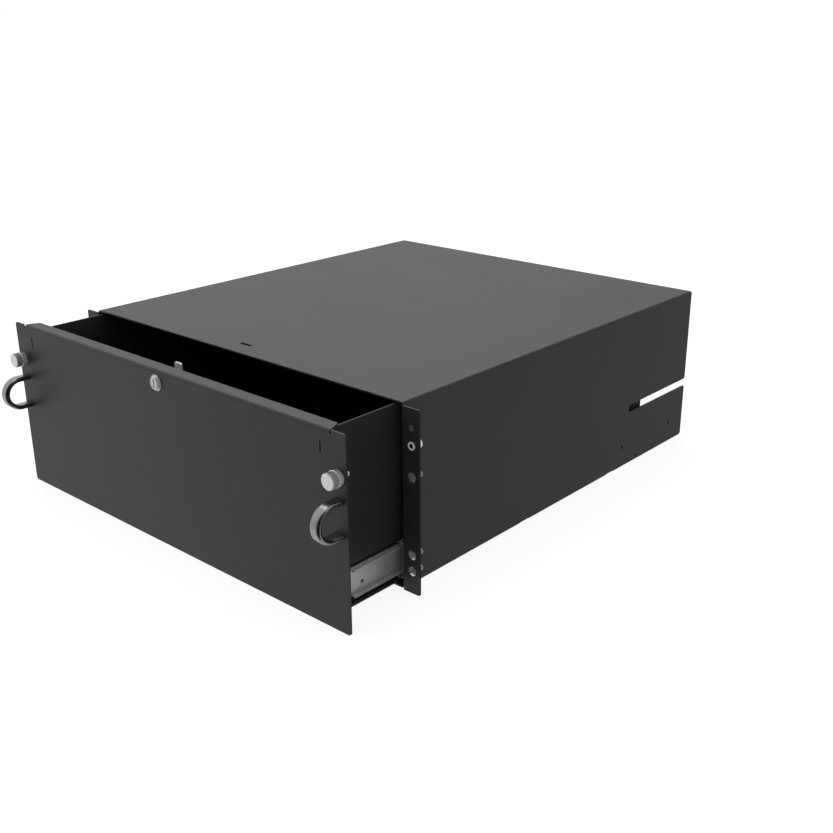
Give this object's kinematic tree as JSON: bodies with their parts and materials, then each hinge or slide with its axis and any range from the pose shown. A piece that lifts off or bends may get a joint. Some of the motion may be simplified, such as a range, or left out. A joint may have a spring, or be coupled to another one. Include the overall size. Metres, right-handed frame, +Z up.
{
  "type": "sliding rack drawer",
  "caption": "Rack-mount drawer in an open-bottomed chassis, on telescopic ball slides, with a flanged front panel, cam lock, captive thumbscrews and C-shaped pull handles.",
  "frame": {"origin": "centre of the four outer rack screws, on the face of the ears that meets the rack", "axes": "+X to the right seen from the front, +Y into the rack, +Z up"},
  "size_m": [0.4826, 0.6022, 0.1775],
  "materials": {
    "black_powder_coat": "fine matt powder coat",
    "zinc_slide": "bright zinc plate",
    "cage_strip": "rolled strip",
    "ball_steel": "polished",
    "rivet_steel": "plain steel",
    "screw_steel": "nickel plate",
    "polished_handle": "satin polished",
    "nickel_knob": "nickel plate",
    "spring_steel": "spring steel",
    "chrome_lock": "chrome plate",
    "lock_zinc": "zinc plate",
    "black_rubber": "matt"
  },
  "bodies": {
    "chassis": {"chassis_shell": "black_powder_coat", "cross_tie_front": "black_powder_coat", "cross_tie_rear": "black_powder_coat", "tie_rivets": "rivet_steel", "rack_screws": "screw_steel", "ear_inserts": "screw_steel", "slide_wall_rivets": "rivet_steel", "slide_buffers": "black_rubber", "slide_outer_left": "zinc_slide", "slide_outer_right": "zinc_slide"},
    "drawer": {"drawer_tray": "black_powder_coat", "drawer_back": "black_powder_coat", "back_rivets": "rivet_steel", "slide_tray_rivets": "rivet_steel", "slide_inner_left": "zinc_slide", "slide_inner_right": "zinc_slide", "front_panel": "black_powder_coat", "handle_left": "polished_handle", "handle_right": "polished_handle", "handle_screws": "screw_steel", "thumb_ferrule_left": "nickel_knob", "thumb_ferrule_right": "nickel_knob", "lock_housing": "chrome_lock", "lock_nut": "lock_zinc"},
    "lock": {"lock_plug": "chrome_lock", "lock_cam": "lock_zinc", "cam_screw": "screw_steel"},
    "middle_left": {"slide_middle_left": "zinc_slide"},
    "outer_cage_left": {"cage_outer_left": "cage_strip", "balls_outer_left": "ball_steel"},
    "inner_cage_left": {"cage_inner_left": "cage_strip", "balls_inner_left": "ball_steel"},
    "thumb_clip_left": {"thumb_clip_left": "spring_steel"},
    "thumb_screw_left": {"thumb_screw_left": "nickel_knob", "thumb_knob_left": "nickel_knob"},
    "middle_right": {"slide_middle_right": "zinc_slide"},
    "outer_cage_right": {"cage_outer_right": "cage_strip", "balls_outer_right": "ball_steel"},
    "inner_cage_right": {"cage_inner_right": "cage_strip", "balls_inner_right": "ball_steel"},
    "thumb_clip_right": {"thumb_clip_right": "spring_steel"},
    "thumb_screw_right": {"thumb_screw_right": "nickel_knob", "thumb_knob_right": "nickel_knob"}
  },
  "joints": [
    {"name": "left_middle_slide", "type": "slide", "parent": "chassis", "child": "middle_left", "axis": [0, -1, 0], "range_m": [-0.0235, 0.2051]},
    {"name": "right_middle_slide", "type": "slide", "parent": "chassis", "child": "middle_right", "axis": [0, -1, 0], "range_m": [-0.0236, 0.2052]},
    {"name": "drawer_slide", "type": "slide", "parent": "middle_left", "child": "drawer", "axis": [0, -1, 0], "range_m": [-0.0582, 0.1704]},
    {"name": "left_outer_cage_slide", "type": "slide", "parent": "chassis", "child": "outer_cage_left", "axis": [0, -1, 0], "range_m": [-0.0118, 0.1026]},
    {"name": "left_inner_cage_slide", "type": "slide", "parent": "middle_left", "child": "inner_cage_left", "axis": [0, -1, 0], "range_m": [-0.0292, 0.0853]},
    {"name": "right_outer_cage_slide", "type": "slide", "parent": "chassis", "child": "outer_cage_right", "axis": [0, -1, 0], "range_m": [-0.0118, 0.1026]},
    {"name": "right_inner_cage_slide", "type": "slide", "parent": "middle_right", "child": "inner_cage_right", "axis": [0, -1, 0], "range_m": [-0.0292, 0.0853]},
    {"name": "lock_turn", "type": "hinge", "parent": "drawer", "child": "lock", "pos_m": [0, -0.0608, 0.09823], "axis": [0, -1, 0], "range_deg": [0, 90]},
    {"name": "left_thumb_pull", "type": "slide", "parent": "drawer", "child": "thumb_clip_left", "axis": [0, -1, 0], "range_m": [0, 0.0045]},
    {"name": "left_thumb_turn", "type": "hinge", "parent": "thumb_clip_left", "child": "thumb_screw_left", "pos_m": [-0.23255, -0.0862, 0.07303], "axis": [0, -1, 0], "continuous": true},
    {"name": "right_thumb_pull", "type": "slide", "parent": "drawer", "child": "thumb_clip_right", "axis": [0, -1, 0], "range_m": [0, 0.0045]},
    {"name": "right_thumb_turn", "type": "hinge", "parent": "thumb_clip_right", "child": "thumb_screw_right", "pos_m": [0.23255, -0.0862, 0.07303], "axis": [0, -1, 0], "continuous": true}
  ],
  "couplings": [
    {"joint": "right_middle_slide", "follows": "left_middle_slide", "ratio": 1},
    {"joint": "left_outer_cage_slide", "follows": "left_middle_slide", "ratio": 0.5},
    {"joint": "left_inner_cage_slide", "follows": "drawer_slide", "ratio": 0.5},
    {"joint": "right_outer_cage_slide", "follows": "left_middle_slide", "ratio": 0.5},
    {"joint": "right_inner_cage_slide", "follows": "drawer_slide", "ratio": 0.5}
  ]
}
